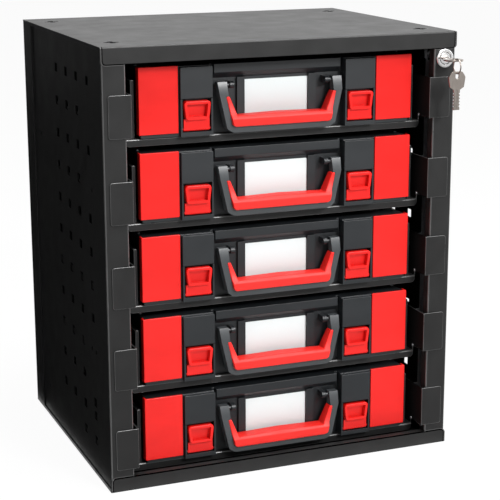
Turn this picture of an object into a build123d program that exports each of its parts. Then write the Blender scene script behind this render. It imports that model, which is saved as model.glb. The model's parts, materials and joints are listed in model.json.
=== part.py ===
from build123d import *
import math
import os

os.makedirs("parts", exist_ok=True)

# Millimetres. X runs to the right, Y to the back, Z up. The origin is the middle of the cabinet's base.
# A setback is a distance behind the front face of the cabinet's shell.
# A level is a height above the floor of a tray, on which its case stands.

# Shell of folded sheet steel
width = 425.0
depth = 340.0
sheet = 1.2
bend = 1.8
upright_width = 28.0
upright_return = 12.0
top_lip = 19.0
bottom_lip = 16.0
lip_corner = 4.0
lip_return = 10.0
side_hem = 4.0
rear_lap = 38.0

# Trays above each other: the height of the cabinet follows from them
tray_count = 5
tray_pitch = 94.0
foot_room = 20.0
head_room = 10.0
height = foot_room + tray_count * tray_pitch + head_room
case_head_room = 16.7

# Punched square holes for hanging hooks, and the small round ones, on each side panel
punch = 10.0
punch_setback = 59.0
punch_step_back = 43.2
punch_from_top = 42.0
punch_top = height - punch_from_top
punch_step_down = 38.4
punch_lowest = 74.0
punch_columns = 4
punch_rows = 1 + int((punch_top - punch_lowest) / punch_step_down)
skipped_rows = (1, 3, 8, 9, 10)
low_punch_level = 42.0
second_punch_level = 72.0
third_punch_level = 88.0
pilot_radius = 2.5
pilot_setback = 50.0
pilot_step = 16.0
pilot_from_rear = 72.0
pilot_low = 41.0
pilot_middle = 151.0
pilot_high = 338.0
pilot_rear_high = 368.0

# Sockets in the top that take the pins of a second cabinet
plug_from_side = 25.5
plug_from_front = 43.0
plug_spacing_x = width - 2 * plug_from_side
plug_spacing_y = depth - 2 * plug_from_front
plug_radius = 11.0
plug_flange = 13.0
plug_depth = 8.0
plug_pin_hole = 3.0
plug_lobe = 3.4
plug_fit = 0.05

# Trays
tray_side_room = 33.5
tray_half = width / 2 - tray_side_room
tray_setback = 25.0
tray_rear_room = 15.0
tray_end_setback = depth - tray_rear_room
tray_wall_room = 41.5
tray_wall = tray_pitch - tray_wall_room
tray_lip = 8.5
lip_chamfer = 3.0
wall_foot = 5.5
tab_from_side = 7.3
tab_outer = width / 2 - tab_from_side
tab_corner = 3.0
tab_gap = 0.3
guide_play = 2.6
guide_flange = 3.9
guide_setback = 28.0
guide_length = 120.0
guide_room = 30.0
guide_height = tray_pitch - guide_room
case_gap = 0.3

# Runners welded to the trays, and the rails they slide in
runner_level = 22.0
runner_height = 8.0
runner_width = 3.5
rail_play = 0.3
rail_side_play = 0.5
rail_setback = 40.0
rail_rear_room = 20.0
rail_end_setback = depth - rail_rear_room
rail_foot = 7.0

# Assortment case
case_side_room = 14.0
case_width = 2 * (tray_half - case_side_room)
guide_half = case_width / 2 + guide_play
case_rear_room = 30.0
case_end_setback = depth - case_rear_room
case_wall = 2.0
case_corner = 8.0
lid_top = tray_pitch - case_head_room
lid_height = 16.3
parting = lid_top - lid_height
plate_width = 45.3
plate_setback = 19.4
plate_thickness = 2.5
plate_bottom = 4.0
plate_below_lid = 0.7
plate_top = lid_top + plate_below_lid
plate_wing = 9.0
block_width = 37.5
block_gap = 2.0
block_inner = case_width / 2 - plate_width - block_gap - block_width
block_setback = 17.3
block_top = 41.0
block_joint = 0.4
tongue_below_lid = 1.3
tongue_top = lid_top - tongue_below_lid
front_setback = 22.0
recess_setback = 31.0
band_end_room = 3.6
band_half = block_inner - band_end_room
band_setback = 23.4
band_height = 9.7
band_bottom = lid_top - band_height
lid_border = 14.0
lid_recess = 1.0

# Carrying handle: a moulded bail with a soft grip
handle_pivot_setback = 21.0
handle_pivot_drop = 7.0
handle_pivot_level = parting - handle_pivot_drop
handle_pin_radius = 1.8
handle_fit = 0.05
handle_bottom = 1.5
handle_above_pivot = 4.0
handle_top = handle_pivot_level + handle_above_pivot
handle_end_room = 4.2
handle_top_half = block_inner - handle_end_room
handle_rim = 7.0
handle_arm_width = 12.4
handle_arm_inner = handle_top_half - handle_arm_width
handle_shoulder_drop = 10.0
handle_shoulder = handle_pivot_level - handle_shoulder_drop
handle_front = 12.0
handle_back = 24.0
handle_lean = 5.5
handle_corner = 11.0
handle_shoulder_inset = 2.0
handle_foot_inset = 10.5
handle_sole_inset = 17.0
handle_shoulder_half = handle_top_half - handle_shoulder_inset
handle_foot_half = handle_top_half - handle_foot_inset
handle_sole_half = handle_top_half - handle_sole_inset
handle_foot_level = 6.5
handle_front_draft = 0.5
handle_back_draft = 1.5
lug_room = 3.6
lug_width = 5.0
lug_inner = handle_arm_inner - lug_room - lug_width
lug_radius = 3.8
pin_end_play = 1.0
grip_front = 8.0
grip_back = 26.0
grip_top = 20.4
grip_drop = 12.0
grip_reach = handle_pivot_level - grip_drop
grip_inner_inset = 22.5
grip_inner_half = handle_top_half - grip_inner_inset
grip_tip_inset = 13.6
grip_tip_half = handle_top_half - grip_tip_inset
grip_arch = 1.2
grip_round = 3.0
grip_blend = 2.0
grip_sole_draft = 1.5

# Label and the two upright ribs that hold it
label_from_lug = 16.5
label_half = lug_inner - label_from_lug
label_bottom = 8.0
label_drop = 3.2
label_top = parting - label_drop
label_thickness = 0.6
rib_width = 9.0
rib_setback = 27.5
rib_play = 0.3

# Latches
latch_width = 32.0
latch_foot_width = 27.0
latch_plate_width = 30.0
latch_bottom = 5.3
latch_waist = 18.0
latch_top = 39.0
latch_play = 0.7
latch_front = 14.6
latch_plate_front = 18.5
latch_plate_back = 21.5
latch_back = 22.3
latch_corner = 4.0
latch_cup_rim = 3.4
latch_cup_round = 1.2
latch_cup_depth = 6.0
latch_pivot_radius = 2.5
latch_pin_radius = 1.5
latch_pin_length = 1.6
latch_pin_end_play = 0.1
latch_fit = 0.05
latch_overlap = 2.0
latch_pocket_back = 27.0
catch_plate_front = 24.6
catch_plate_back = 26.6
catch_level = 30.5
catch_height = 2.0
catch_reach = 1.5
catch_play = 0.4
catch_half = 11.0
catch_ledge = 2.0

# Lock on the right upright, with its cam, bar and keys
lock_from_top = 30.2
lock_level = height - lock_from_top
lock_from_side = 15.4
lock_bezel_radius = 10.75
lock_bezel = 3.2
lock_bezel_round = 1.1
lock_groove = 0.5
lock_body_radius = 9.5
lock_body_end = 24.0
lock_fit = 0.05
lock_plug_radius = 6.8
keyway_width = 8.6
keyway_height = 2.2
keyway_depth = 21.0
cam_gap = 0.3
cam_thickness = 2.0
cam_radius = 8.0
cam_throw = 5.5
cam_pin_radius = 1.5
cam_slot_play = 1.4
cam_slot_end = 1.0
bar_setback = 27.3
bar_thickness = 2.0
bar_width = 18.0
bar_head_width = 22.0
bar_bottom = 50.0
bar_head_height = 16.0
finger_drop = 10.0
finger_level = tray_wall - finger_drop
finger_height = 8.0
finger_play = 2.0
catch_block_drop = 9.5
catch_block_level = finger_level - catch_block_drop
catch_block_height = 8.0
catch_block_length = 8.0
bar_guide_play = 0.2
bar_guide_height = 8.0
bar_guide_level = 16.0

# Keys and ring
key_thickness = 1.8
key_blade_width = 8.0
key_blade_length = 23.0
key_bow_end = 12.9
key_bow_wide_at = 6.3
key_bow_shoulder = 18.1
key_bow_shoulder_at = 17.9
key_bow_round = 3.4
key_shoulder_round = 1.2
key_bow_width = 21.5
key_bow_length = 21.0
key_strip = 1.8
key_eye_length = 6.6
key_eye_width = 4.4
key_cut_depth = 1.2
key_cut_pitch = 3.6
key_cut_count = 5
key_groove_width = 1.5
key_groove_depth = 0.5
key_stand_off = 28.5
ring_radius = 8.2
ring_wire = 0.7
ring_play = 0.08

front = -depth / 2
rear = depth / 2
upright_face = front + sheet
side_face = width / 2 - sheet
side_inner = side_face - sheet
side_depth = rear - sheet - upright_face
upright_inner = width / 2 - upright_width
tray_outer = tray_half + sheet
runner_outer = tray_outer + runner_width
levels = [foot_room + tray_pitch * row for row in reversed(range(tray_count))]


def behind(setback):
    """The Y place of a setback."""
    return front + setback


# Top panel: a plate with a deep lip at the front, a narrow hem along each side and four holes.
hem_length = depth - rear_lap - sheet
hem_middle = front + sheet + hem_length / 2

with BuildPart() as top_panel:
    with BuildSketch(Plane.XY.offset(height - sheet)):
        Rectangle(width, depth)
        with GridLocations(plug_spacing_x, plug_spacing_y, 2, 2):
            Circle(plug_radius, mode=Mode.SUBTRACT)
    extrude(amount=sheet)
    with BuildSketch(Plane.XZ.offset(-front)) as lip_face:
        with Locations((0, height - top_lip / 2)):
            Rectangle(width, top_lip)
        fillet(lip_face.vertices().group_by(Axis.Y)[0], lip_corner)
    extrude(amount=-sheet)
    with BuildSketch(Plane.XY.offset(height - side_hem)):
        with Locations((0, hem_middle)):
            with GridLocations(width - sheet, 0, 2, 1):
                Rectangle(sheet, hem_length)
    extrude(amount=side_hem - sheet)
    front_bend = top_panel.edges().filter_by(Axis.X).group_by(Axis.Z)[-1].sort_by(Axis.Y)[0]
    fillet(front_bend, bend)

# Bottom panel: the same fold turned over, with the lip's upper edge folded back between the uprights.
with BuildPart() as bottom_panel:
    with BuildSketch(Plane.XY):
        Rectangle(width, depth)
    extrude(amount=sheet)
    with BuildSketch(Plane.XZ.offset(-front)) as lip_face:
        with Locations((0, bottom_lip / 2)):
            Rectangle(width, bottom_lip)
        fillet(lip_face.vertices().group_by(Axis.Y)[-1], lip_corner)
    extrude(amount=-sheet)
    with BuildSketch(Plane.XY.offset(bottom_lip - sheet)):
        with Locations((0, front + (lip_return + sheet) / 2)):
            Rectangle(2 * upright_inner - sheet, lip_return + sheet)
    extrude(amount=sheet)
    with BuildSketch(Plane.XY.offset(sheet)):
        with Locations((0, hem_middle)):
            with GridLocations(width - sheet, 0, 2, 1):
                Rectangle(sheet, hem_length)
    extrude(amount=side_hem - sheet)
    lip_bend = bottom_panel.edges().filter_by(Axis.X).group_by(Axis.Z)[-1].sort_by(Axis.Y)[0]
    fillet(lip_bend, bend / 2)

# Rear panel: a plate whose sides fold forward and lap over the side panels.
with BuildPart() as rear_panel:
    with BuildSketch(Plane.XY.offset(sheet)):
        with Locations((0, rear - sheet / 2)):
            Rectangle(width, sheet)
        with Locations((0, rear - rear_lap / 2)):
            with GridLocations(width - sheet, 0, 2, 1):
                Rectangle(sheet, rear_lap)
    extrude(amount=height - 2 * sheet)
    rear_bends = rear_panel.edges().filter_by(Axis.Z).group_by(Axis.Y)[-1]
    fillet(rear_bends, bend)


# Side panels: one folded sheet each, with the upright across the front and its return behind.
def side_plan(sign):
    """The section of the folded side panel seen from above."""
    with BuildSketch(Plane.XY.offset(sheet)) as plan:
        with Locations((sign * (side_face - sheet / 2), upright_face + side_depth / 2)):
            Rectangle(sheet, side_depth)
        with Locations((sign * (upright_inner + side_face) / 2, upright_face + sheet / 2)):
            Rectangle(side_face - upright_inner, sheet)
        with Locations((sign * (upright_inner + sheet / 2), upright_face + upright_return / 2)):
            Rectangle(sheet, upright_return)
    return plan.sketch


def punch_places(first_row):
    """The square holes of one side panel, from one row down, as places on its plane."""
    places = []
    for column in range(punch_columns):
        for row in range(first_row, punch_rows):
            if column > 0 or row not in skipped_rows:
                setback = punch_setback + column * punch_step_back
                places.append((behind(setback), punch_top - row * punch_step_down))
    places += [(behind(punch_setback), level) for level in (second_punch_level, third_punch_level)]
    return places + [(behind(punch_setback + row * punch_step_back), low_punch_level) for row in range(2)]


def pilot_places():
    """The small round holes of one side panel."""
    return [
        (rear - pilot_from_rear, pilot_rear_high),
        (rear - pilot_from_rear, pilot_low),
        (behind(pilot_setback), pilot_high),
        (behind(pilot_setback), pilot_middle),
        (behind(pilot_setback + pilot_step), pilot_middle),
    ]


with BuildPart() as side_left:
    add(side_plan(-1))
    extrude(amount=height - 2 * sheet)
    bends = side_left.edges().filter_by(Axis.Z).group_by(Axis.Y)[0]
    fillet(bends, bend)
    with BuildSketch(Plane.YZ.offset(-side_face)):
        with Locations(*punch_places(0)):
            Rectangle(punch, punch)
        with Locations(*pilot_places()):
            Circle(pilot_radius)
    extrude(amount=sheet, mode=Mode.SUBTRACT)

# The right panel carries the lock and has no holes beside it.
lock_x = width / 2 - lock_from_side
lock_plane = Plane(origin=(lock_x, upright_face, lock_level), x_dir=(1, 0, 0), z_dir=(0, -1, 0))

with BuildPart() as side_right:
    add(side_plan(1))
    extrude(amount=height - 2 * sheet)
    bends = side_right.edges().filter_by(Axis.Z).group_by(Axis.Y)[0]
    fillet(bends, bend)
    with BuildSketch(Plane.YZ.offset(side_inner)):
        with Locations(*punch_places(1)):
            Rectangle(punch, punch)
        with Locations(*pilot_places()):
            Circle(pilot_radius)
    extrude(amount=sheet, mode=Mode.SUBTRACT)
    with BuildSketch(lock_plane):
        Circle(lock_body_radius + lock_fit)
    extrude(amount=-sheet, mode=Mode.SUBTRACT)

# Socket plugs: flanged cups pushed up through the top panel, with four lobes round the pin hole.
with BuildPart() as stacking_plugs:
    with BuildSketch(Plane.XY.offset(height - plug_depth)):
        with GridLocations(plug_spacing_x, plug_spacing_y, 2, 2):
            Circle(plug_radius - plug_fit)
    extrude(amount=plug_depth)
    with BuildSketch(Plane.XY.offset(height - 2 * sheet)):
        with GridLocations(plug_spacing_x, plug_spacing_y, 2, 2):
            Circle(plug_flange)
    extrude(amount=sheet)
    with BuildSketch(Plane.XY.offset(height)):
        with GridLocations(plug_spacing_x, plug_spacing_y, 2, 2):
            with PolarLocations(plug_radius / 2, 4):
                Circle(plug_lobe)
    extrude(amount=-plug_depth / 2, mode=Mode.SUBTRACT)
    with BuildSketch(Plane.XY.offset(height)):
        with GridLocations(plug_spacing_x, plug_spacing_y, 2, 2):
            Circle(plug_pin_hole)
    extrude(amount=-plug_depth, mode=Mode.SUBTRACT)

# Rails: channels that open towards the trays, with feet spot-welded to the side panels.
rail_bottom = runner_level - rail_play - sheet
rail_top = runner_level + runner_height + rail_play + sheet
rail_web = runner_outer + rail_side_play
rail_mouth = tray_outer + rail_side_play

with BuildPart() as slide_rails:
    with BuildSketch(Plane.XZ.offset(-behind(rail_setback))) as rail_section:
        for level in levels:
            rail_middle = level + (rail_bottom + rail_top) / 2
            with Locations(((rail_mouth + side_inner) / 2, rail_middle)):
                with GridLocations(0, rail_top - rail_bottom - sheet, 1, 2):
                    Rectangle(side_inner - rail_mouth, sheet)
            with Locations((rail_web + sheet / 2, rail_middle)):
                Rectangle(sheet, rail_top - rail_bottom)
            with Locations((side_inner - sheet / 2, rail_middle)):
                with GridLocations(0, rail_top - rail_bottom + rail_foot, 1, 2):
                    Rectangle(sheet, rail_foot)
        mirror(about=Plane.YZ)
    extrude(amount=rail_setback - rail_end_setback)

# Tray: a floor with a turned-down lip and a rear wall. Welded on are side walls that reach forward to
# the tabs, two guides for the case, a runner bar on each side and, on the right, the block that the lock
# bar stops.
tab_front = upright_face - tab_gap - sheet
runner_length = rail_end_setback - rail_setback
runner_place = (behind(rail_setback + runner_length / 2), runner_level + runner_height / 2)
catch_block_front = bar_setback + bar_thickness + rail_play
catch_block_place = (
    behind(catch_block_front + catch_block_length / 2),
    catch_block_level + catch_block_height / 2,
)

with BuildPart() as tray:
    with BuildSketch(Plane.YZ.offset(-tray_half)) as pan:
        with BuildLine():
            Polyline(
                (behind(tray_end_setback), 0),
                (behind(tray_setback), 0),
                (behind(tray_setback), -tray_lip),
                (behind(tray_setback) + sheet, -tray_lip),
                (behind(tray_setback) + sheet, -sheet),
                (behind(tray_end_setback), -sheet),
                close=True,
            )
        make_face()
        fillet(pan.vertices().group_by(Axis.Y)[-1].sort_by(Axis.X)[0], bend)
    extrude(amount=2 * tray_half)
    chamfer(tray.edges().filter_by(Axis.Y).group_by(Axis.Z)[0], lip_chamfer)
    with BuildSketch(Plane.XZ.offset(-behind(tray_end_setback))):
        with Locations((0, tray_wall / 2)):
            Rectangle(2 * tray_half, tray_wall)
    extrude(amount=sheet)

with BuildPart() as tray_sides:
    with BuildSketch(Plane.YZ.offset(tray_half)):
        with BuildLine():
            Polyline(
                (behind(tray_end_setback), tray_wall),
                (tab_front + sheet, tray_wall),
                (tab_front + sheet, wall_foot),
                (behind(tray_setback + bend), wall_foot),
                (behind(tray_setback + bend), -sheet),
                (behind(tray_end_setback), -sheet),
                close=True,
            )
        make_face()
    extrude(amount=sheet)
    mirror(about=Plane.YZ)

with BuildPart() as tray_tabs:
    with BuildSketch(Plane.XZ.offset(-tab_front)) as tab_face:
        with Locations(((tray_half + tab_outer) / 2, (tray_wall + wall_foot) / 2)):
            Rectangle(tab_outer - tray_half, tray_wall - wall_foot)
        fillet(tab_face.vertices().group_by(Axis.X)[-1], tab_corner)
    extrude(amount=-sheet)
    mirror(about=Plane.YZ)

with BuildPart() as tray_guides:
    with BuildSketch(Plane.XY):
        with Locations((guide_half + sheet / 2, behind(guide_setback + guide_length / 2))):
            Rectangle(sheet, guide_length)
        with Locations((guide_half + guide_flange / 2, behind(guide_setback) + sheet / 2)):
            Rectangle(guide_flange, sheet)
    extrude(amount=guide_height)
    with BuildSketch(Plane.XY.offset(guide_height - sheet)):
        with Locations((guide_half + guide_flange / 2, behind(guide_setback + guide_length / 2))):
            Rectangle(guide_flange, guide_length)
    extrude(amount=sheet)
    mirror(about=Plane.YZ)

with BuildPart() as tray_bars:
    with BuildSketch(Plane.YZ.offset(tray_outer)):
        with Locations(runner_place):
            Rectangle(runner_length, runner_height)
    extrude(amount=runner_width)
    mirror(about=Plane.YZ)
    with BuildSketch(Plane.YZ.offset(tray_outer)):
        with Locations(catch_block_place):
            Rectangle(catch_block_length, catch_block_height)
    extrude(amount=runner_width)

# Case base: an open shell with a recess across the middle of its front, where the handle folds,
# and two latch housings beside it.
case_half = case_width / 2 - plate_thickness
block_outer = block_inner + block_width
block_middle = block_inner + block_width / 2
pocket_half = latch_width / 2 + latch_play
latch_pivot_setback = latch_plate_front + latch_pivot_radius
latch_pivot_level = latch_bottom + latch_pivot_radius
case_length = case_end_setback - front_setback
case_middle = behind(front_setback) + case_length / 2
room_length = case_end_setback - recess_setback - 2 * case_wall
room_middle = (behind(recess_setback) + behind(case_end_setback)) / 2
room_half = case_half - case_wall
recess_depth = recess_setback - front_setback
recess_middle = behind(front_setback) + recess_depth / 2
nook_width = case_half - block_outer - 2 * case_wall
nook_middle = recess_middle + 3 * case_wall / 2
latch_bore = latch_width + 2 * (latch_pin_length + latch_pin_end_play)
rib_middle = label_half + rib_play + rib_width / 2
lug_middle = lug_inner + lug_width / 2
lug_length = recess_setback - handle_pivot_setback
tongue_back = catch_plate_back + block_joint
tongue_bottom = block_top + block_joint
catch_middle = (catch_level + tongue_bottom) / 2

with BuildPart() as case_base:
    with BuildSketch(Plane.XY):
        with Locations((0, case_middle)):
            Rectangle(2 * case_half, case_length)
    extrude(amount=parting)
    fillet(case_base.edges().filter_by(Axis.Z).group_by(Axis.Y)[-1], case_corner)
    fillet(case_base.edges().group_by(Axis.Z)[0].group_by(Axis.Y)[-1], case_wall)
    with BuildSketch(Plane.XY.offset(case_wall)) as hollow:
        with Locations((0, room_middle)):
            Rectangle(2 * room_half, room_length)
        fillet(hollow.vertices().group_by(Axis.Y)[-1], case_corner - case_wall)
        with Locations((0, nook_middle)):
            with GridLocations(block_outer + case_half, 0, 2, 1):
                Rectangle(nook_width, recess_depth + case_wall)
    extrude(amount=parting, mode=Mode.SUBTRACT)
    with BuildSketch(Plane.XY):
        with Locations((0, recess_middle)):
            Rectangle(2 * block_inner, recess_depth)
    extrude(amount=parting, mode=Mode.SUBTRACT)
    with BuildSketch(Plane.XZ.offset(-behind(block_setback))) as block_face:
        with GridLocations(2 * block_middle, 0, 2, 1):
            with Locations((0, block_top / 2)):
                Rectangle(block_width, block_top)
    extrude(amount=block_setback - front_setback)
    with BuildSketch(Plane.XZ.offset(-behind(block_setback))):
        with GridLocations(2 * block_middle, 0, 2, 1):
            with Locations((0, (block_top + parting) / 2)):
                Rectangle(block_width + 2 * block_joint, parting - block_top)
    extrude(amount=block_setback - tongue_back, mode=Mode.SUBTRACT)
    with BuildSketch(Plane.XZ.offset(-behind(block_setback))):
        with GridLocations(2 * block_middle, 0, 2, 1):
            with Locations((0, (latch_bottom - latch_play + block_top) / 2)):
                Rectangle(2 * pocket_half, block_top - latch_bottom + latch_play)
    extrude(amount=block_setback - latch_pocket_back, mode=Mode.SUBTRACT)
    for sign in (-1, 1):
        with BuildSketch(Plane.YZ.offset(sign * block_middle)):
            with Locations((behind(latch_pivot_setback), latch_pivot_level)):
                Circle(latch_pin_radius + latch_fit)
        extrude(amount=latch_bore / 2, both=True, mode=Mode.SUBTRACT)
    with BuildSketch(Plane.XZ.offset(-behind(rib_setback))):
        with GridLocations(2 * rib_middle, 0, 2, 1):
            with Locations((0, parting / 2)):
                Rectangle(rib_width, parting)
    extrude(amount=rib_setback - recess_setback)
    for sign in (-1, 1):
        with BuildSketch(Plane.YZ.offset(sign * lug_middle)):
            with Locations((behind(handle_pivot_setback), handle_pivot_level)):
                Circle(lug_radius)
            with Locations((behind(handle_pivot_setback + lug_length / 2), handle_pivot_level)):
                Rectangle(lug_length, 2 * lug_radius)
            with Locations((behind(handle_pivot_setback), handle_pivot_level)):
                Circle(handle_pin_radius + handle_fit, mode=Mode.SUBTRACT)
        extrude(amount=lug_width / 2, both=True)

# Case lid: a shallow shell whose front edge makes the band over the recess, with a tongue down
# over each latch housing and a catch behind each latch.
with BuildPart() as case_lid:
    with BuildSketch(Plane.XY.offset(parting)):
        with Locations((0, case_middle)):
            Rectangle(2 * case_half, case_length)
    extrude(amount=lid_top - parting)
    fillet(case_lid.edges().filter_by(Axis.Z).group_by(Axis.Y)[-1], case_corner)
    with BuildSketch(Plane.XY.offset(parting)):
        with Locations((0, recess_middle)):
            Rectangle(2 * block_inner, recess_depth)
    extrude(amount=lid_top - parting, mode=Mode.SUBTRACT)
    with BuildSketch(Plane.YZ.offset(-band_half)):
        with BuildLine():
            Polyline(
                (behind(recess_setback), parting),
                (behind(band_setback), band_bottom),
                (behind(band_setback), lid_top),
                (behind(recess_setback) + case_wall, lid_top),
                (behind(recess_setback) + case_wall, parting),
                close=True,
            )
        make_face()
    extrude(amount=2 * band_half)
    with BuildSketch(Plane.XY.offset(parting)) as hollow:
        with Locations((0, room_middle)):
            Rectangle(2 * room_half, room_length)
        fillet(hollow.vertices().group_by(Axis.Y)[-1], case_corner - case_wall)
    extrude(amount=lid_top - parting - lid_recess - case_wall, mode=Mode.SUBTRACT)
    with BuildSketch(Plane.XY.offset(lid_top)):
        with Locations((0, room_middle)):
            RectangleRounded(2 * (case_half - lid_border), room_length - 2 * lid_border, case_corner)
    extrude(amount=-lid_recess, mode=Mode.SUBTRACT)
    with BuildSketch(Plane.XZ.offset(-behind(block_setback))) as tongue_face:
        with GridLocations(2 * block_middle, 0, 2, 1):
            with Locations((0, (tongue_bottom + tongue_top) / 2)):
                Rectangle(block_width, tongue_top - tongue_bottom)
    extrude(amount=block_setback - catch_plate_back)
    with BuildSketch(Plane.XZ.offset(-behind(catch_plate_front))):
        with GridLocations(2 * block_middle, 0, 2, 1):
            with Locations((0, catch_middle)):
                Rectangle(2 * catch_half, tongue_bottom - catch_level)
    extrude(amount=catch_plate_front - catch_plate_back)
    with BuildSketch(Plane.XZ.offset(-behind(catch_plate_front - catch_reach))):
        with GridLocations(2 * block_middle, 0, 2, 1):
            with Locations((0, catch_level + catch_height / 2)):
                Rectangle(2 * catch_half, catch_height)
    extrude(amount=-catch_reach)

# Corner plates: folded round the two front corners of the base.
with BuildPart() as corner_plates:
    with BuildSketch(Plane.XY.offset(plate_bottom)):
        with Locations((case_width / 2 - plate_width / 2, behind(plate_setback) + plate_thickness / 2)):
            Rectangle(plate_width, plate_thickness)
        with Locations((case_width / 2 - plate_thickness / 2, behind(plate_setback + plate_wing / 2))):
            Rectangle(plate_thickness, plate_wing)
        mirror(about=Plane.YZ)
    extrude(amount=plate_top - plate_bottom)
    plate_fronts = corner_plates.faces().sort_by(Axis.Y)[:2]
    fillet(plate_fronts.edges(), plate_thickness / 3)

# Label card, blank, held between the two ribs.
with BuildPart() as label:
    with BuildSketch(Plane.XZ.offset(-behind(recess_setback - label_thickness))) as card:
        with Locations((0, (label_bottom + label_top) / 2)):
            Rectangle(2 * label_half, label_top - label_bottom)
        fillet(card.vertices(), 2 * label_thickness)
    extrude(amount=-label_thickness)

# Handle: the front view of the bail cut to its side view, with a round pin in from each arm.
above_top = handle_top + 2 * handle_rim
pad_outer = handle_shoulder_half - handle_rim / 2

with BuildSketch(Plane.XZ) as bail_outline:
    with BuildLine():
        Polyline(
            (handle_top_half, above_top),
            (handle_shoulder_half, handle_shoulder),
            (handle_foot_half, handle_foot_level),
            (handle_sole_half, handle_bottom),
            (-handle_sole_half, handle_bottom),
            (-handle_foot_half, handle_foot_level),
            (-handle_shoulder_half, handle_shoulder),
            (-handle_top_half, above_top),
            close=True,
        )
    make_face()
    fillet(bail_outline.vertices().group_by(Axis.Y)[0], handle_corner)

with BuildSketch(Plane.XZ) as bail_opening:
    offset(bail_outline.sketch, amount=-handle_rim)

with BuildPart() as handle:
    with BuildSketch(Plane.XZ.offset(-front)) as bail:
        add(bail_outline.sketch_local)
        add(bail_opening.sketch_local, mode=Mode.SUBTRACT)
        with Locations((0, handle_top + above_top / 2)):
            Rectangle(2 * width, above_top, mode=Mode.SUBTRACT)
        with BuildLine():
            Polyline(
                (handle_arm_inner, grip_reach),
                (pad_outer, grip_reach),
                (pad_outer, handle_top),
                (handle_arm_inner, handle_top),
                close=True,
            )
        make_face()
        mirror(about=Plane.YZ)
    extrude(amount=-recess_setback)
    with BuildSketch(Plane.YZ.offset(-width / 2)) as side_view:
        with BuildLine():
            Polyline(
                (behind(handle_front), handle_bottom - handle_rim),
                (behind(handle_front + handle_front_draft), handle_shoulder),
                (behind(handle_front + handle_lean), handle_top),
                (behind(handle_back + handle_back_draft), handle_top),
                (behind(handle_back), handle_shoulder),
                (behind(handle_back), handle_bottom - handle_rim),
                close=True,
            )
        make_face()
    extrude(amount=width, mode=Mode.INTERSECT)
    with BuildSketch(Plane.YZ.offset(lug_inner + pin_end_play)):
        with Locations((behind(handle_pivot_setback), handle_pivot_level)):
            Circle(handle_pin_radius)
    extrude(amount=handle_arm_inner - lug_inner)
    with BuildSketch(Plane.YZ.offset(-lug_inner - pin_end_play)):
        with Locations((behind(handle_pivot_setback), handle_pivot_level)):
            Circle(handle_pin_radius)
    extrude(amount=lug_inner - handle_arm_inner)

# Grip: fills the inner edge of the bail, from one arm round to the other.
with BuildPart() as grip:
    with BuildSketch(Plane.XZ.offset(-front)):
        add(bail_opening.sketch_local)
        with Locations((0, grip_reach + above_top / 2)):
            Rectangle(2 * width, above_top, mode=Mode.SUBTRACT)
        with BuildLine():
            Polyline(
                (-grip_tip_half, grip_reach),
                (-grip_inner_half, grip_top),
                (0, grip_top + grip_arch),
                (grip_inner_half, grip_top),
                (grip_tip_half, grip_reach),
                close=True,
            )
        make_face(mode=Mode.SUBTRACT)
    extrude(amount=-recess_setback)
    with BuildSketch(Plane.YZ.offset(-width / 2)) as side_view:
        with BuildLine():
            Polyline(
                (behind(grip_front + grip_sole_draft), handle_bottom),
                (behind(grip_front), handle_bottom + handle_rim + grip_round),
                (behind(grip_front), grip_top - grip_round),
                (behind(grip_front + grip_round), grip_top + grip_blend),
                (behind(handle_front), grip_reach),
                (behind(handle_back), grip_reach),
                (behind(grip_back), grip_top + grip_blend),
                (behind(grip_back - grip_blend), handle_bottom),
                close=True,
            )
        make_face()
    extrude(amount=width, mode=Mode.INTERSECT)

# Latch: a lower plate on a pivot barrel and, above it, a finger cup that narrows downwards.
# A ledge on its back snaps over the lid's catch.
ledge_reach = catch_plate_front - catch_play - latch_back
ledge_level = catch_level + catch_height + catch_play

with BuildPart() as latch:
    with BuildSketch(Plane.XZ.offset(-behind(latch_front))) as loop_face:
        with BuildLine():
            Polyline(
                (-latch_width / 2, latch_top),
                (-latch_foot_width / 2, latch_waist),
                (latch_foot_width / 2, latch_waist),
                (latch_width / 2, latch_top),
                close=True,
            )
        make_face()
        fillet(loop_face.vertices(), latch_corner)
    extrude(amount=latch_front - latch_back)
    fillet(latch.edges().group_by(Axis.Y)[0], latch_cup_round)
    with BuildSketch(Plane.XZ.offset(-behind(latch_front))):
        offset(loop_face.sketch_local, amount=-latch_cup_rim)
    extrude(amount=-latch_cup_depth, mode=Mode.SUBTRACT)
    with BuildSketch(Plane.XZ.offset(-behind(latch_plate_front))):
        with Locations((0, (latch_pivot_level + latch_waist) / 2)):
            Rectangle(latch_plate_width, latch_waist - latch_pivot_level + latch_overlap)
    extrude(amount=latch_plate_front - latch_plate_back)
    with BuildSketch(Plane.YZ.offset(-latch_plate_width / 2)):
        with Locations((behind(latch_pivot_setback), latch_pivot_level)):
            Circle(latch_pivot_radius)
    extrude(amount=latch_plate_width)
    with BuildSketch(Plane.YZ.offset(-latch_width / 2 - latch_pin_length)):
        with Locations((behind(latch_pivot_setback), latch_pivot_level)):
            Circle(latch_pin_radius)
    extrude(amount=latch_width + 2 * latch_pin_length)
    with BuildSketch(Plane.YZ.offset(-catch_half)):
        with Locations((behind(latch_back + ledge_reach / 2), ledge_level + catch_ledge / 2)):
            Rectangle(ledge_reach, catch_ledge)
    extrude(amount=2 * catch_half)

# Lock: a bezelled barrel through the upright, its plug, and the cam with the pin that drives the bar.
lock_body = lock_body_end - sheet

with BuildPart() as lock_barrel:
    with BuildSketch(lock_plane):
        Circle(lock_bezel_radius)
        Circle(lock_plug_radius + lock_fit, mode=Mode.SUBTRACT)
    extrude(amount=lock_bezel)
    rims = lock_barrel.edges().group_by(Axis.Y)[0].sort_by(SortBy.RADIUS)
    fillet(rims[-1], lock_bezel_round)
    chamfer(rims[0], lock_groove)
    with BuildSketch(lock_plane):
        Circle(lock_body_radius)
        Circle(lock_plug_radius + lock_fit, mode=Mode.SUBTRACT)
    extrude(amount=-lock_body)

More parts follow.
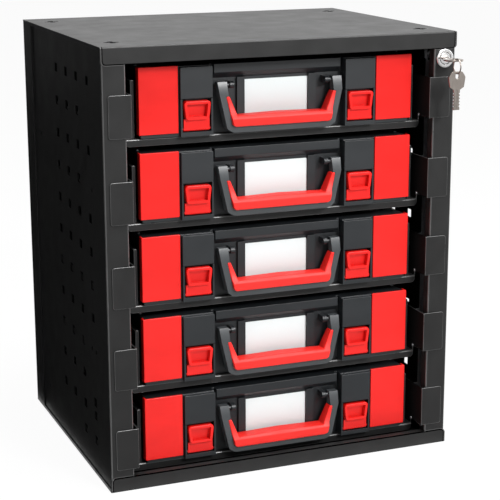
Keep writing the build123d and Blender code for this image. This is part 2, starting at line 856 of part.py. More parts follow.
with BuildPart() as lock_plug:
    with BuildSketch(lock_plane.offset(-lock_body)):
        Circle(lock_plug_radius)
    extrude(amount=lock_body + lock_bezel)
    chamfer(lock_plug.edges().group_by(Axis.Y)[0], lock_groove)
    with BuildSketch(lock_plane.offset(lock_bezel)):
        Rectangle(keyway_width, keyway_height)
    extrude(amount=-keyway_depth, mode=Mode.SUBTRACT)

# The cam bears on the end of the plug; its pin reaches through the bar's slot.
cam_front = lock_body + cam_gap
cam_pin_end = bar_setback + bar_thickness - sheet - cam_gap

with BuildPart() as lock_cam:
    with BuildSketch(lock_plane.offset(-cam_front)):
        Circle(cam_radius)
    extrude(amount=-cam_thickness)
    with BuildSketch(lock_plane.offset(-lock_body)):
        Circle(lock_plug_radius / 2)
    extrude(amount=-cam_gap)
    with BuildSketch(lock_plane.offset(-cam_front - cam_thickness)):
        with Locations((0, cam_throw)):
            Circle(cam_pin_radius)
    extrude(amount=cam_front + cam_thickness - cam_pin_end)

# Lock bar: a strip behind the upright, with a slotted head over the cam's pin and a finger for each tray
# welded to it.
bar_inner = lock_x - bar_width / 2
bar_head = lock_level + cam_throw
finger_tip = tray_outer + finger_play
slot_half = cam_throw + cam_pin_radius + cam_slot_end

bar_top = bar_head - bar_head_height / 2

with BuildPart() as bar_strip:
    with BuildSketch(Plane.XZ.offset(-behind(bar_setback))):
        with Locations((lock_x, (bar_bottom + bar_top) / 2)):
            Rectangle(bar_width, bar_top - bar_bottom)
    extrude(amount=-bar_thickness)

with BuildPart() as bar_slot:
    with BuildSketch(Plane.XZ.offset(-behind(bar_setback))):
        with Locations((lock_x, bar_head)):
            Rectangle(bar_head_width, bar_head_height)
            SlotOverall(2 * slot_half, 2 * (cam_pin_radius + cam_slot_play), mode=Mode.SUBTRACT)
    extrude(amount=-bar_thickness)

with BuildPart() as bar_fingers:
    with BuildSketch(Plane.XZ.offset(-behind(bar_setback))):
        for level in levels:
            with Locations(((finger_tip + bar_inner) / 2, level + finger_level + finger_height / 2)):
                Rectangle(bar_inner - finger_tip, finger_height)
    extrude(amount=-bar_thickness)

# Guides: two loops on the inside of the right panel that hold the bar upright.
bar_room = bar_thickness + 2 * bar_guide_play
loop_inner = bar_inner - 2 * bar_guide_play

with BuildPart() as bar_guides:
    for level in (levels[0], levels[-2]):
        with BuildSketch(Plane.XY.offset(level + bar_guide_level)):
            with Locations(((loop_inner + side_inner) / 2, behind(bar_setback + bar_thickness / 2))):
                Rectangle(side_inner - loop_inner, bar_room + 2 * sheet)
            with Locations((lock_x, behind(bar_setback + bar_thickness / 2))):
                Rectangle(bar_width + 2 * bar_guide_play, bar_room, mode=Mode.SUBTRACT)
        extrude(amount=bar_guide_height)

# Keys: the same blank twice, one in the plug and one hanging from the ring.
eye_middle = key_strip + key_eye_length / 2
cut_side = key_cut_depth * math.sqrt(2)
cut_middle = key_bow_length + key_blade_length / 2

with BuildSketch(Plane.XY) as key_outline:
    with BuildLine():
        Polyline(
            (-key_bow_end / 2, 0),
            (-key_bow_width / 2, key_bow_wide_at),
            (-key_bow_shoulder / 2, key_bow_shoulder_at),
            (-key_blade_width / 2, key_bow_length),
            (key_blade_width / 2, key_bow_length),
            (key_bow_shoulder / 2, key_bow_shoulder_at),
            (key_bow_width / 2, key_bow_wide_at),
            (key_bow_end / 2, 0),
            close=True,
        )
    make_face()
    bow_corners = key_outline.vertices().group_by(Axis.Y)
    fillet(bow_corners[0] + bow_corners[1], key_bow_round)
    fillet(key_outline.vertices().group_by(Axis.Y)[-2], key_shoulder_round)
    with Locations((0, key_bow_length + key_blade_length / 2)):
        Rectangle(key_blade_width, key_blade_length)
    with Locations((0, cut_middle)):
        with GridLocations(key_blade_width, key_cut_pitch, 2, key_cut_count):
            Rectangle(cut_side, cut_side, rotation=45, mode=Mode.SUBTRACT)
    with Locations((0, eye_middle)):
        SlotOverall(key_eye_length, key_eye_width, rotation=90, mode=Mode.SUBTRACT)

key_plane = Plane(origin=(lock_x, upright_face - lock_bezel - key_stand_off, lock_level), x_dir=(1, 0, 0))


def key_blank(plane):
    """A key cut on both edges, with a groove down each face of its blade."""
    with BuildPart() as blank:
        with BuildSketch(plane):
            add(key_outline.sketch_local)
        extrude(amount=key_thickness / 2, both=True)
        for face in (-1, 1):
            with BuildSketch(plane.offset(face * key_thickness / 2)):
                with Locations((0, key_bow_length + key_blade_length / 2)):
                    Rectangle(key_groove_width, key_blade_length)
            extrude(amount=-face * key_groove_depth, mode=Mode.SUBTRACT)
    return blank.part


key = key_blank(key_plane)

# The ring hangs from the strip beyond the eye of the key in the lock, with room to swing over its corners.
half_key = key_thickness / 2
ring_inside = ring_radius - ring_wire
strip_corner = math.hypot(key_strip / 2, half_key)
ring_drop = ring_inside - strip_corner - ring_play
ring_y = upright_face - lock_bezel - key_stand_off + key_strip / 2

with BuildPart() as key_ring:
    Torus(ring_radius, ring_wire, rotation=(0, 90, 0))
key_ring_placed = key_ring.part.moved(Location((lock_x, ring_y, lock_level - ring_drop)))

hang_level = lock_level - ring_drop - ring_inside + ring_play
spare_plane = Plane(origin=(lock_x, ring_y, hang_level + key_strip), x_dir=(1, 0, 0), z_dir=(0, 1, 0))
spare_key = key_blank(spare_plane)


def write(solid, name):
    """One labelled STEP file for each piece."""
    solid.label = name
    export_step(solid, f"parts/{name}.step")


for name, piece in {
    "side_left": side_left,
    "side_right": side_right,
    "top_panel": top_panel,
    "bottom_panel": bottom_panel,
    "rear_panel": rear_panel,
    "stacking_plugs": stacking_plugs,
    "slide_rails": slide_rails,
    "lock_barrel": lock_barrel,
    "lock_plug": lock_plug,
    "lock_cam": lock_cam,
    "bar_guides": bar_guides,
}.items():
    write(piece.part, name)
write(key, "key")
write(spare_key, "spare_key")
write(key_ring_placed, "key_ring")
write(Compound(bar_strip.solids() + bar_slot.solids() + bar_fingers.solids()), "lock_bar")
tray_pieces = [tray, tray_sides, tray_tabs, tray_guides, tray_bars]
tray_welded = Compound([solid for piece in tray_pieces for solid in piece.solids()])

for bay, level in enumerate(levels, start=1):
    write(tray_welded.moved(Location((0, 0, level))), f"tray_{bay}")
    for name, piece in {
        "case_base": case_base,
        "case_lid": case_lid,
        "corner_plates": corner_plates,
        "label": label,
        "handle": handle,
        "grip": grip,
    }.items():
        write(piece.part.moved(Location((0, 0, level + case_gap))), f"{name}_{bay}")
    for side, sign in {"left": -1, "right": 1}.items():
        at = Location((sign * block_middle, 0, level + case_gap))
        write(latch.part.moved(at), f"latch_{side}_{bay}")
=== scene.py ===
"""Looks of a lockable steel cabinet with five pull-out trays, each holding a plastic assortment case."""

import json
import math

import bmesh
import bpy
from mathutils import Euler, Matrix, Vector

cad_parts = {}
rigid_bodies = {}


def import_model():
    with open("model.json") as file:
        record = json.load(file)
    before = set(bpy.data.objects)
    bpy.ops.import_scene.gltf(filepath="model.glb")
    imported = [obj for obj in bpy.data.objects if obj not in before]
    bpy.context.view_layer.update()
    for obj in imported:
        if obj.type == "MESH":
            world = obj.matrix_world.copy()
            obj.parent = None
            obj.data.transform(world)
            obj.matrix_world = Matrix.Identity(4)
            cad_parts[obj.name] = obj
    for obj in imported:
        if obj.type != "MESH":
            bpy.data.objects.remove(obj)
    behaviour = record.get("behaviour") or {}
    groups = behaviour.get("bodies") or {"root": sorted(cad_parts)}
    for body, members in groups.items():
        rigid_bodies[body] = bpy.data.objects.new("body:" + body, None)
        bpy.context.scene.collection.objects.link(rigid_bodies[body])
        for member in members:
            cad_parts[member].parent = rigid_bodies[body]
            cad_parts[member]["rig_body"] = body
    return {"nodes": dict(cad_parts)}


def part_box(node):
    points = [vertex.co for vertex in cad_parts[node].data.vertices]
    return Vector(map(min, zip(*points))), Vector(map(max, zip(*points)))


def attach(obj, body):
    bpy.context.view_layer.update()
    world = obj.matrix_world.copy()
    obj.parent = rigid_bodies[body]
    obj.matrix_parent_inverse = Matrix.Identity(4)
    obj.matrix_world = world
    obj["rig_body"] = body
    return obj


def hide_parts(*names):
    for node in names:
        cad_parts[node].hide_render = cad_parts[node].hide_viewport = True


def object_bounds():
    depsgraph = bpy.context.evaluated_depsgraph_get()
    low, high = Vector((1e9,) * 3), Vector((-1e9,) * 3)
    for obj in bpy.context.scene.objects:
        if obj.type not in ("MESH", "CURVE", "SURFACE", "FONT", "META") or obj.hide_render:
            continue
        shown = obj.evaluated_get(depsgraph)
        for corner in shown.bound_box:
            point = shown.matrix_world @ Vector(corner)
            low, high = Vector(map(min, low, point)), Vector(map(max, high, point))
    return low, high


BAYS = 5
SIDES = ("left", "right")
MM = 0.001

# Camera, fitted to points of the cabinet in the photograph, in metres and degrees
CAMERA_PLACE = (-0.650, -1.686, 0.674)
CAMERA_AZIMUTH = -21.79
CAMERA_ELEVATION = 14.03
CAMERA_ROLL = -0.16
CAMERA_LENS = 108.0
SENSOR_WIDTH = 36.0
CAMERA_RANGE = 50.0

# Floor and surroundings
FLOOR_REACH = 14.0
FLOOR_PAPER = (0.93, 0.93, 0.93, 1.0)
FLOOR_GLOW = 0.95
WHITE = (1.0, 1.0, 1.0, 1.0)
SURROUNDINGS_LIGHT = 0.24

# Studio cards that only reflections see: one beside the cabinet, two sheets on the floor
SIDE_CARD_X = -0.55
SIDE_CARD_START = -0.4
SIDE_CARD_END = 3.4
SIDE_CARD_HEIGHT = 1.6
SIDE_CARD_GREY = 0.01
SIDE_SHEET_GAP = 3.5 * MM
SIDE_SHEET_SETBACK = 10.0 * MM
FRONT_SHEET_START = -3.6
FRONT_SHEET_REACH = 2.4
FRONT_SHEET_GAP = 15.0 * MM
FRONT_SHEET_GREY = 0.38
SHEET_LIFT = 1.0 * MM

# Colours, as linear light
POWDER_BLACK = (0.0125, 0.0125, 0.0125)
CASE_GREY = (0.0105, 0.0125, 0.0145)
BAIL_GREY = (0.039, 0.043, 0.046)
SIGNAL_RED = (0.60, 0.006, 0.004)
GRIP_RED = (0.62, 0.012, 0.008)
CARD_WHITE = (0.60, 0.65, 0.65)
SOCKET_BLACK = (0.004, 0.004, 0.004)
CHROME = (0.88, 0.88, 0.88)
NICKEL = (0.36, 0.32, 0.29)
ZINC = (0.56, 0.57, 0.59)
# Painted shadow: the black drawn in the gap round the front lips
PAINTED_SHADOW_BLACK = (0.001, 0.001, 0.001, 1.0)

# The painted shadow in the gap round the cabinet's front lips, and the painted highlight outside it
SEAM_WIDTH = 1.3 * MM
SEAM_DEPTH = 3.0 * MM
SEAM_INSET = 2.4 * MM
SEAM_CORNER = 4.0 * MM
SEAM_HIGHLIGHT = 0.6 * SEAM_WIDTH

# The painted shade of the groove between the lock's plug and its bezel, inside and outside the plug's radius
GROOVE_INSIDE = 0.3 * MM
GROOVE_OUTSIDE = 0.4 * MM

# Rounding of the edges
PANEL_ROUNDING = 0.35 * MM
SIDE_ROUNDING = 0.25 * MM
SOCKET_ROUNDING = 0.3 * MM
BEZEL_ROUNDING = 0.3 * MM
PLUG_ROUNDING = 0.15 * MM
KEY_ROUNDING = 0.25 * MM
TRAY_ROUNDING = 0.5 * MM
BASE_ROUNDING = 0.5 * MM
LID_ROUNDING = 0.6 * MM
PLATE_ROUNDING = 0.6 * MM
BAIL_ROUNDING = 0.9 * MM
GRIP_ROUNDING = 2.2 * MM
LATCH_ROUNDING = 0.7 * MM
SHARP_ANGLE = 30.0
LARGE_FACE_WEIGHT = 80

# How a CAD node's triangles are joined into faces
MERGE_DISTANCE = 0.002 * MM
FLAT_ANGLE = 0.6

# Which faces get the painted highlight of bends, and the painted shade of walls of holes and inner walls, by
# the parts of their normals
FLAT_PART = 0.985
DEPTH_PART = 0.2
SIDEWAYS_PART = 0.99
HOLE_WALL_AREA = 20.0 * MM * MM
INNER_WALL_START = -165.0 * MM

# Studs: radius and height, insets from the sides, setbacks from the front, rises above the tray's floor
RIVET = (2.0 * MM, 0.8 * MM)
RIVET_INSET = 26.2 * MM
RIVET_SETBACKS = (27.0 * MM, 150.0 * MM, 290.0 * MM)
RIVET_RISE = 6.0 * MM
LID_PIN = (1.8 * MM, 1.4 * MM)
LID_PIN_INSET = 3.2 * MM
LID_PIN_STEPS_FROM_BACK = (40.0 * MM, 263.0 * MM)
COLLAR = (2.6 * MM, 1.2 * MM)
COLLAR_INSET = 15.6 * MM
COLLAR_SETBACK = 21.3 * MM
COLLAR_RISE = 54.3 * MM
CASE_HEIGHT = 77.6 * MM

# How far a stud is turned
UPRIGHT = (0.0, 0.0, 0.0)
SIDEWAYS = (0.0, math.pi / 2, 0.0)


class Signal:
    """A socket of a node tree that takes part in maths."""

    def __init__(self, wiring, socket):
        self.wiring = wiring
        self.socket = socket

    def __add__(self, other):
        return self.wiring.maths("ADD", self, other)

    __radd__ = __add__

    def __sub__(self, other):
        return self.wiring.maths("SUBTRACT", self, other)

    def __rsub__(self, other):
        return self.wiring.maths("SUBTRACT", other, self)

    def __mul__(self, other):
        return self.wiring.maths("MULTIPLY", self, other)

    __rmul__ = __mul__

    def __truediv__(self, other):
        return self.wiring.maths("DIVIDE", self, other)

    def __rtruediv__(self, other):
        return self.wiring.maths("DIVIDE", other, self)

    def __pow__(self, other):
        return self.wiring.maths("POWER", self, other)

    def __rpow__(self, other):
        return self.wiring.maths("POWER", other, self)

    def __abs__(self):
        return self.wiring.maths("ABSOLUTE", self)

    def at_least(self, other):
        """The larger of two values."""
        return self.wiring.maths("MAXIMUM", self, other)

    def at_most(self, other):
        """The smaller of two values."""
        return self.wiring.maths("MINIMUM", self, other)

    def above(self, level):
        """1 where the value is above a level, and 0 elsewhere."""
        return self.wiring.maths("GREATER_THAN", self, level)

    def below(self, level):
        """1 where the value is below a level, and 0 elsewhere."""
        return self.wiring.maths("LESS_THAN", self, level)


class Wiring:
    """A node tree, and the one way in which its nodes are made."""

    def __init__(self, tree):
        self.tree = tree

    def node(self, kind, settings, values, output=0):
        """Adds a node: its settings first, then the values or links of its sockets.

        A list of signals goes into one socket that takes several.
        """
        made = self.tree.nodes.new(kind)
        for name, value in settings.items():
            setattr(made, name, value)
        named = values.items() if isinstance(values, dict) else enumerate(values)
        for key, value in named:
            for part in value if isinstance(value, list) else [value]:
                if isinstance(part, Signal):
                    self.tree.links.new(part.socket, made.inputs[key])
                else:
                    made.inputs[key].default_value = part
        return Signal(self, made.outputs[output]) if made.outputs else None

    def maths(self, operation, *values):
        """Adds a Math node."""
        return self.node("ShaderNodeMath", {"operation": operation}, values)

    def seen_directly(self):
        """1 for what the camera, a reflection or a clear piece sees, and 0 for rays that carry light."""
        camera_ray = self.node("ShaderNodeLightPath", {}, {}, "Is Camera Ray")
        glossy_ray = self.node("ShaderNodeLightPath", {}, {}, "Is Glossy Ray")
        through_ray = self.node("ShaderNodeLightPath", {}, {}, "Is Transmission Ray")
        return (camera_ray + glossy_ray + through_ray).at_most(1.0)


class Finish(Wiring):
    """A material whose patterns follow the piece's own coordinates."""

    def __init__(self, name):
        self.material = bpy.data.materials.new(name)
        self.material.use_nodes = True
        super().__init__(self.material.node_tree)
        self.tree.nodes.clear()
        self.place = self.node("ShaderNodeTexCoord", {}, {}, "Object")

    def coordinate(self, axis):
        """One coordinate of the place."""
        return self.node("ShaderNodeSeparateXYZ", {}, [self.place], axis)

    def noise(self, scale, detail, stretch=(1.0, 1.0, 1.0)):
        """Noise between 0 and 1, with its scale in cycles per metre."""
        where = self.node("ShaderNodeMapping", {}, {"Vector": self.place, "Scale": stretch})
        values = {"Vector": where, "Scale": scale, "Detail": detail, "Roughness": 0.5}
        return self.node("ShaderNodeTexNoise", {"noise_dimensions": "3D"}, values)

    def spread(self, signal, low, high):
        """The middle range of a noise stretched to run from low to high."""
        values = {"Value": signal, "From Min": 0.3, "From Max": 0.7, "To Min": low, "To Max": high}
        return self.node("ShaderNodeMapRange", {"clamp": True}, values)

    def blend(self, share, first, second):
        """A colour between two colours, which are sockets 6 and 7 of a colour's Mix node."""
        first, second = (
            colour if isinstance(colour, Signal) else (*colour, 1.0) for colour in (first, second)
        )
        settings = {"data_type": "RGBA", "clamp_factor": True}
        return self.node("ShaderNodeMix", settings, {"Factor": share, 6: first, 7: second}, output=2)

    def bump(self, height, strength, depth):
        """A bumped normal."""
        return self.node("ShaderNodeBump", {}, {"Strength": strength, "Distance": depth, "Height": height})

    def surface(self, values, painted_shadow=None):
        """Ends the material with the main shader, and with black, a painted shadow, where a signal marks a
        gap.
        """
        shader = self.node("ShaderNodeBsdfPrincipled", {}, values)
        if painted_shadow is not None:
            black = self.node("ShaderNodeBsdfDiffuse", {}, {"Color": PAINTED_SHADOW_BLACK})
            shader = self.node("ShaderNodeMixShader", {}, [painted_shadow, shader, black])
        return self.close(shader)

    def close(self, shader):
        """Ends the material with a shader."""
        self.node("ShaderNodeOutputMaterial", {}, {"Surface": shader})
        return self.material


def shade(colour, share):
    """A colour made lighter or darker."""
    return tuple(min(channel * share, 1.0) for channel in colour)


def lip_seam(finish, half_width, edge, way):
    """Distance from the rounded outline of a front lip, whose inner side is above its edge or below it."""
    past_side = abs(finish.coordinate("X")) - (half_width - SEAM_CORNER)
    past_edge = (edge - finish.coordinate("Z")) * way + SEAM_CORNER
    beside = past_side.at_least(0.0)
    beyond = past_edge.at_least(0.0)
    outside = (beside * beside + beyond * beyond) ** 0.5
    inside = past_side.at_least(past_edge).at_most(0.0)
    return outside + inside - SEAM_CORNER


def powder_coat(name, colour, roughness=0.42, sheen=0.3, seams=(), front=0.0):
    """Satin powder coat over sheet steel, with orange peel and faint mottling.

    Each seam is a painted black shadow in the gap round a front lip, with a painted highlight, a band five
    times lighter, outside it.
    """
    finish = Finish(name)
    peel = finish.noise(950.0, detail=2.0)
    grain = finish.noise(4200.0, detail=1.0)
    mottle = finish.noise(35.0, detail=4.0)
    cloud = finish.spread(mottle, 0.0, 1.0)
    coat = finish.blend(cloud, shade(colour, 0.88), shade(colour, 1.12))
    painted_shadow = None
    for seam in seams:
        away = lip_seam(finish, *seam)
        facing = finish.coordinate("Y").below(front + SEAM_DEPTH)
        past_start = away.above(-SEAM_WIDTH / 2)
        past_gap = away.above(SEAM_WIDTH / 2)
        past_highlight = away.above(SEAM_WIDTH / 2 + SEAM_HIGHLIGHT)
        # Painted highlight: a band five times lighter just outside the gap
        coat = finish.blend((past_gap - past_highlight) * facing, coat, shade(colour, 5.0))
        # Painted shadow: the band of the gap itself, drawn black by surface()
        shadow_band = (past_start - past_gap) * facing
        painted_shadow = shadow_band if painted_shadow is None else painted_shadow.at_least(shadow_band)
    return finish.surface(
        {
            "Base Color": coat,
            "Roughness": finish.spread(mottle, roughness - 0.04, roughness + 0.04),
            "Normal": finish.bump(peel + 0.4 * grain, strength=0.22, depth=0.12 * MM),
            "Specular IOR Level": sheen,
        },
        painted_shadow,
    )


def moulded_plastic(name, colour, roughness, relief=0.16, sheen=0.5):
    """Injection-moulded plastic with a fine spark-eroded grain and slow flow marks."""
    finish = Finish(name)
    grain = finish.noise(2600.0, detail=2.0)
    flow = finish.noise(22.0, detail=3.0, stretch=(1.0, 1.0, 2.5))
    tone = finish.spread(flow, 0.0, 1.0)
    return finish.surface(
        {
            "Base Color": finish.blend(tone, shade(colour, 0.94), shade(colour, 1.05)),
            "Roughness": finish.spread(flow, roughness - 0.03, roughness + 0.04),
            "Normal": finish.bump(grain, strength=relief, depth=0.08 * MM),
            "Specular IOR Level": sheen,
        }
    )


def soft_grip(name, colour):
    """Soft-touch rubber: matte, with a velvety grain."""
    finish = Finish(name)
    grain = finish.noise(3400.0, detail=3.0)
    wear = finish.noise(40.0, detail=3.0)
    tone = finish.spread(wear, 0.0, 1.0)
    return finish.surface(
        {
            "Base Color": finish.blend(tone, shade(colour, 0.95), shade(colour, 1.04)),
            "Roughness": finish.spread(wear, 0.42, 0.52),
            "Normal": finish.bump(grain, strength=0.2, depth=0.08 * MM),
            "Specular IOR Level": 0.3,
        }
    )


def card_stock(name, colour):
    """Coated white card with a trace of paper fibre."""
    finish = Finish(name)
    fibre = finish.noise(1800.0, detail=4.0, stretch=(1.0, 1.0, 0.25))
    tone = finish.spread(fibre, 0.0, 1.0)
    return finish.surface(
        {
            "Base Color": finish.blend(tone, shade(colour, 0.98), colour),
            "Roughness": finish.spread(fibre, 0.44, 0.52),
            "Normal": finish.bump(fibre, strength=0.05, depth=0.04 * MM),
        }
    )


def plated_metal(name, colour, roughness, stretch):
    """Plated metal with brush lines along one direction and a few dull patches."""
    finish = Finish(name)
    lines = finish.noise(1400.0, detail=3.0, stretch=stretch)
    patches = finish.noise(120.0, detail=4.0)
    dull = finish.spread(patches, 0.0, 1.0)
    return finish.surface(
        {
            "Base Color": finish.blend(dull, colour, shade(colour, 0.86)),
            "Metallic": 1.0,
            "Roughness": finish.spread(lines, roughness - 0.06, roughness + 0.06),
            "Normal": finish.bump(lines, strength=0.06, depth=0.03 * MM),
        }
    )


def turned_chrome(name, colour, centre, plug_radius):
    """Chrome with the fine rings that turning leaves, and painted shade in the groove round the lock's plug.
    """
    finish = Finish(name)
    across = finish.coordinate("X") - centre.x
    up = finish.coordinate("Z") - centre.z
    radius = (across * across + up * up) ** 0.5
    rings = finish.maths("SINE", radius * 9000.0)
    smudge = finish.noise(160.0, detail=4.0)
    polished = finish.blend(finish.spread(smudge, 0.0, 1.0), colour, shade(colour, 0.9))
    # Painted shade: a dark ring where the groove between plug and bezel lies
    groove_shade = radius.above(plug_radius - GROOVE_INSIDE) - radius.above(plug_radius + GROOVE_OUTSIDE)
    return finish.surface(
        {
            "Base Color": finish.blend(groove_shade, polished, shade(colour, 0.08)),
            "Metallic": 1.0,
            "Roughness": finish.spread(smudge, 0.16, 0.26),
            "Normal": finish.bump(rings, strength=0.02, depth=0.01 * MM),
        }
    )


def make_finishes(cad_box):
    """The finishes of all the pieces, by name."""
    half_width = cad_box[1][0] - SEAM_INSET
    top_low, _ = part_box("top_panel")
    _, bottom_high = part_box("bottom_panel")
    seams = ((half_width, top_low.z, 1.0), (half_width, bottom_high.z, -1.0))
    plug_low, plug_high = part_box("lock_plug")
    plug_radius = (plug_high.x - plug_low.x) / 2
    return {
        "steel": powder_coat("powder coat", POWDER_BLACK),
        # Painted highlight: a coat 4.5 times lighter and glossier, put on the faces of bends
        "painted highlight steel": powder_coat("powder coat with painted highlight", shade(POWDER_BLACK, 4.5), roughness=0.3, sheen=0.8),
        # Painted shade: a darker, duller coat on walls of punched holes and on inward faces of the trays
        "painted shade steel": powder_coat("shaded powder coat", shade(POWDER_BLACK, 0.3), roughness=0.7, sheen=0.1),
        # Panel coat with the painted shadow and painted highlight round the front lips
        "panel steel": powder_coat("panel powder coat", POWDER_BLACK, seams=seams, front=top_low.y),
        "case": moulded_plastic("case plastic", CASE_GREY, roughness=0.42),
        "bail": moulded_plastic("bail plastic", BAIL_GREY, roughness=0.36),
        "red": moulded_plastic("red plastic", SIGNAL_RED, roughness=0.36, relief=0.08, sheen=0.3),
        "grip": soft_grip("red grip", GRIP_RED),
        "card": card_stock("label card", CARD_WHITE),
        "socket": moulded_plastic("socket plastic", SOCKET_BLACK, roughness=0.35, sheen=0.35),
        "chrome": turned_chrome("lock chrome", CHROME, (plug_low + plug_high) / 2, plug_radius),
        "nickel": plated_metal("key nickel", NICKEL, roughness=0.34, stretch=(1.0, 1.0, 0.06)),
        "zinc": plated_metal("zinc plate", ZINC, roughness=0.38, stretch=(1.0, 1.0, 0.05)),
    }


def slants(face):
    """Whether a face is part of a bend or a rounded rim."""
    return max(abs(part) for part in face.normal) < FLAT_PART


def bends_along_depth(face):
    """Whether a face is part of a bend that runs from the front to the back."""
    return slants(face) and abs(face.normal.y) < DEPTH_PART


def long_bend(face):
    """Whether a face is part of a bend and larger than the walls of a punched hole."""
    return slants(face) and face.area > HOLE_WALL_AREA


def hole_wall(face):
    """Whether a face of a side panel is a wall of a punched hole."""
    return abs(face.normal.x) < FLAT_PART and face.area < HOLE_WALL_AREA


def faces_inwards(face):
    """Whether a face points along the width, behind the cabinet's front."""
    return abs(face.normal.x) > SIDEWAYS_PART and face.center.y > INNER_WALL_START


def add_object(name, data):
    """Adds an object to the scene: a mesh, a camera or a lamp."""
    made = bpy.data.objects.new(name, data)
    bpy.context.scene.collection.objects.link(made)
    return made


def merged_copy(node, name):
    """A new mesh with the shape of a CAD node, its doubles merged and its flat faces joined."""
    shell = bmesh.new()
    shell.from_mesh(node.data)
    bmesh.ops.remove_doubles(shell, verts=shell.verts, dist=MERGE_DISTANCE)
    bmesh.ops.dissolve_limit(
        shell,
        angle_limit=math.radians(FLAT_ANGLE),
        verts=shell.verts,
        edges=shell.edges,
        delimit={"NORMAL"},
    )
    mesh = bpy.data.meshes.new(name)
    shell.to_mesh(mesh)
    shell.free()
    return mesh


def plain_mesh(piece):
    """Turns a piece and its modifiers into a plain mesh."""
    bpy.context.view_layer.update()
    depsgraph = bpy.context.evaluated_depsgraph_get()
    mesh = bpy.data.meshes.new_from_object(piece.evaluated_get(depsgraph))
    piece.modifiers.clear()
    piece.data = mesh


def softened(frame, node_name, piece_name, material, radius, segments=2, others=()):
    """Adds a piece with the shape of a CAD node and its edges rounded, which replaces the node.

    Each of the other materials goes on the faces that pass its test.
    """
    node = frame["nodes"][node_name]
    piece = add_object(piece_name, merged_copy(node, piece_name))
    for polygon in piece.data.polygons:
        polygon.use_smooth = True
    rounding = piece.modifiers.new("rounding", "BEVEL")
    rounding.width = radius
    rounding.segments = segments
    rounding.limit_method = "ANGLE"
    rounding.angle_limit = math.radians(SHARP_ANGLE)
    rounding.use_clamp_overlap = True
    evening = piece.modifiers.new("even faces", "WEIGHTED_NORMAL")
    evening.mode = "FACE_AREA"
    evening.weight = LARGE_FACE_WEIGHT
    plain_mesh(piece)
    piece.data.materials.clear()
    piece.data.materials.append(material)
    for index, (other, passes) in enumerate(others, start=1):
        piece.data.materials.append(other)
        for polygon in piece.data.polygons:
            if passes(polygon):
                polygon.material_index = index
    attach(piece, node["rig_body"])
    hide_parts(node_name)


def dress(frame, node_name, material):
    """Gives a CAD node its material."""
    materials = frame["nodes"][node_name].data.materials
    materials.clear()
    materials.append(material)


def stud_group(material):
    """Geometry nodes that set a domed, flanged stud on each point, and the identifiers of their inputs."""
    group = bpy.data.node_groups.new("studs", "GeometryNodeTree")
    inputs = {}
    for name, kind in (
        ("Geometry", "NodeSocketGeometry"),
        ("Radius", "NodeSocketFloat"),
        ("Height", "NodeSocketFloat"),
        ("Turn", "NodeSocketVector"),
    ):
        inputs[name] = group.interface.new_socket(name=name, in_out="INPUT", socket_type=kind).identifier
    group.interface.new_socket(name="Geometry", in_out="OUTPUT", socket_type="NodeSocketGeometry")

    stud = Wiring(group)
    points, radius, height, turn = (stud.node("NodeGroupInput", {}, {}, name) for name in inputs)
    flange_size = {"Vertices": 20, "Radius": radius, "Depth": height * 0.35}
    flange = stud.node("GeometryNodeMeshCylinder", {}, flange_size)
    dome_radius = radius * 0.78
    ball = stud.node("GeometryNodeMeshUVSphere", {}, {"Segments": 20, "Rings": 8, "Radius": dome_radius})
    squash = stud.node("ShaderNodeCombineXYZ", {}, [1.0, 1.0, height / dome_radius])
    dome = stud.node("GeometryNodeTransform", {}, {"Geometry": ball, "Scale": squash})
    both = stud.node("GeometryNodeJoinGeometry", {}, [[flange, dome]])
    set_out = {"Points": points, "Instance": both, "Rotation": turn}
    spots = stud.node("GeometryNodeInstanceOnPoints", {}, set_out)
    real = stud.node("GeometryNodeRealizeInstances", {}, [spots])
    smooth = stud.node("GeometryNodeSetShadeSmooth", {}, [real])
    painted = stud.node("GeometryNodeSetMaterial", {}, {"Geometry": smooth, "Material": material})
    stud.node("NodeGroupOutput", {}, [painted])
    return group, inputs


def add_studs(frame, name, rides_on, stud_maker, places, size, turn):
    """Adds a piece with one stud at each place, which moves with the body of a CAD node."""
    mesh = bpy.data.meshes.new(name)
    mesh.from_pydata(places, [], [])
    piece = add_object(name, mesh)
    group, inputs = stud_maker
    setting = piece.modifiers.new("studs", "NODES")
    setting.node_group = group
    setting[inputs["Radius"]], setting[inputs["Height"]] = size
    setting[inputs["Turn"]] = turn
    plain_mesh(piece)
    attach(piece, frame["nodes"][rides_on]["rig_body"])


def finish_studs(frame, bay, stud_maker):
    """The rivets of a tray, the pins at the corners of a lid and the collars on a handle's pins."""
    tray_low, tray_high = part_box(f"tray_{bay}")
    _, lid_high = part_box(f"case_lid_{bay}")
    _, bail_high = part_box(f"handle_{bay}")
    floor_level = lid_high.z - CASE_HEIGHT
    rivets = [
        (sign * (tray_high.x - RIVET_INSET), tray_low.y + setback, floor_level + RIVET_RISE)
        for sign in (-1, 1)
        for setback in RIVET_SETBACKS
    ]
    lid_pins = [
        (sign * (lid_high.x - LID_PIN_INSET), lid_high.y - step, lid_high.z)
        for sign in (-1, 1)
        for step in LID_PIN_STEPS_FROM_BACK
    ]
    collars = [
        (sign * (bail_high.x - COLLAR_INSET), tray_low.y + COLLAR_SETBACK, floor_level + COLLAR_RISE)
        for sign in (-1, 1)
    ]
    add_studs(frame, f"tray_rivets_{bay}", f"tray_{bay}", stud_maker, rivets, RIVET, SIDEWAYS)
    add_studs(frame, f"lid_pins_{bay}", f"case_lid_{bay}", stud_maker, lid_pins, LID_PIN, UPRIGHT)
    add_studs(frame, f"pin_collars_{bay}", f"handle_{bay}", stud_maker, collars, COLLAR, SIDEWAYS)


